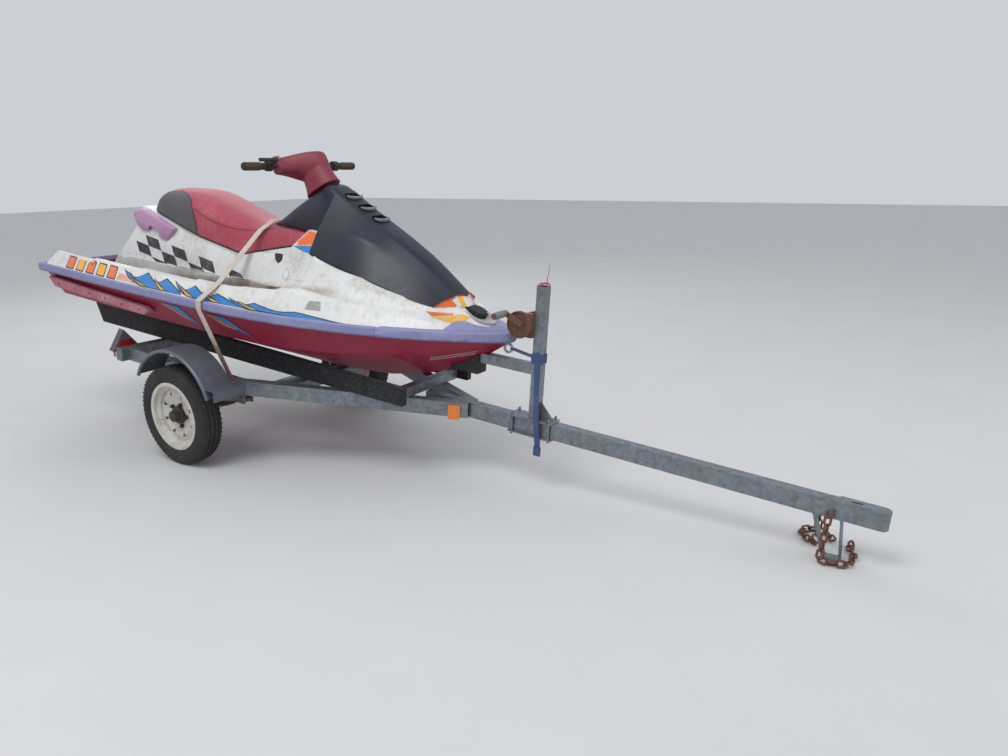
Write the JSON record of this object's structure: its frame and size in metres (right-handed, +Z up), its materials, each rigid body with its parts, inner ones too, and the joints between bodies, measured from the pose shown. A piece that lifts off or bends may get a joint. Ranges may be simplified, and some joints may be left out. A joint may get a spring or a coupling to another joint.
{
  "type": "personal watercraft on trailer",
  "caption": "Two-seat personal watercraft with red hull and white deck, strapped on the carpeted bunks of a single-axle galvanized trailer with a long tongue and a winch post.",
  "frame": {"origin": "on the ground, under the middle of the whole length and width, as it is parked on its two tyres and the skid foot", "axes": "+X forward to the trailer's coupler, +Y to port, +Z up"},
  "size_m": [4.514, 1.398, 1.5345],
  "materials": {
    "hull_red": "gloss",
    "deck_white": "gloss",
    "hood_black": "satin",
    "seat_red": "matt",
    "mat_dark": "matt",
    "bumper_lavender": "matt",
    "sponson_pink": "satin",
    "handle_lilac": "satin",
    "cap_black": "satin",
    "engine_alloy": "satin",
    "pump_alloy": "satin",
    "impeller_steel": "satin",
    "bar_black": "satin",
    "pad_red": "matt",
    "grip_rubber": "matt",
    "eye_steel": "satin",
    "galvanized": "satin",
    "bunk_carpet": "matt",
    "spring_steel": "matt",
    "tyre": "matt",
    "rim_white": "satin",
    "hub_greasy": "matt",
    "fender_grey": "satin",
    "winch_rust": "matt",
    "block_rubber": "matt",
    "lamp_red": "gloss",
    "reflector_orange": "gloss",
    "chain_rust": "matt",
    "strap_cream": "matt",
    "strap_blue": "matt"
  },
  "bodies": {
    "trailer_and_craft": {"hull": "hull_red", "deck": "deck_white", "hood": "hood_black", "seat": "seat_red", "deck_mat": "mat_dark", "bumper_rail": "bumper_lavender", "bow_cap": "bumper_lavender", "sponson_right": "sponson_pink", "sponson_left": "sponson_pink", "grab_handle": "handle_lilac", "filler_cap": "cap_black", "engine": "engine_alloy", "jet_pump": "pump_alloy", "ride_plate": "pump_alloy", "intake_grate": "pump_alloy", "bow_eye": "eye_steel", "tongue": "galvanized", "rail_left": "galvanized", "rail_right": "galvanized", "front_crossbar": "galvanized", "middle_crossbar": "galvanized", "rear_crossbar": "galvanized", "bunk_left": "bunk_carpet", "bunk_right": "bunk_carpet", "axle": "galvanized", "spring_left": "spring_steel", "spring_right": "spring_steel", "fender_left": "fender_grey", "fender_right": "fender_grey", "winch_post": "galvanized", "winch": "winch_rust", "bow_block": "block_rubber", "coupler": "galvanized", "tail_light_left": "lamp_red", "tail_light_right": "lamp_red", "side_reflectors": "reflector_orange", "safety_chain_left": "chain_rust", "safety_chain_right": "chain_rust", "tie_down_strap": "strap_cream", "bow_straps": "strap_blue"},
    "wheel_right": {"tyre_right": "tyre", "rim_right": "rim_white", "hub_right": "hub_greasy"},
    "wheel_left": {"tyre_left": "tyre", "rim_left": "rim_white", "hub_left": "hub_greasy"},
    "steering": {"handlebar": "bar_black", "handlebar_pad": "pad_red", "grip_right": "grip_rubber", "grip_left": "grip_rubber"},
    "nozzle": {"steering_nozzle": "pump_alloy"},
    "impeller_shaft": {"impeller": "impeller_steel"}
  },
  "joints": [
    {"name": "wheel_right_spin", "type": "hinge", "parent": "trailer_and_craft", "child": "wheel_right", "pos_m": [-0.91308, -0.628, 0.255], "axis": [0, 1, 0], "continuous": true},
    {"name": "wheel_left_spin", "type": "hinge", "parent": "trailer_and_craft", "child": "wheel_left", "pos_m": [-0.91308, 0.628, 0.255], "axis": [0, 1, 0], "continuous": true},
    {"name": "steering_turn", "type": "hinge", "parent": "trailer_and_craft", "child": "steering", "pos_m": [-0.4383, 0, 1.33565], "axis": [-0.4622, 0, 0.8868], "range_deg": [-28, 28]},
    {"name": "nozzle_turn", "type": "hinge", "parent": "trailer_and_craft", "child": "nozzle", "pos_m": [-2.14329, 0, 0.66072], "axis": [0.0745, 0, 0.9972], "range_deg": [-20, 20]},
    {"name": "impeller_spin", "type": "hinge", "parent": "trailer_and_craft", "child": "impeller_shaft", "pos_m": [-1.88201, 0, 0.64122], "axis": [0.9972, 0, -0.0745], "continuous": true}
  ],
  "couplings": [
    {"joint": "nozzle_turn", "follows": "steering_turn", "ratio": -0.7}
  ]
}
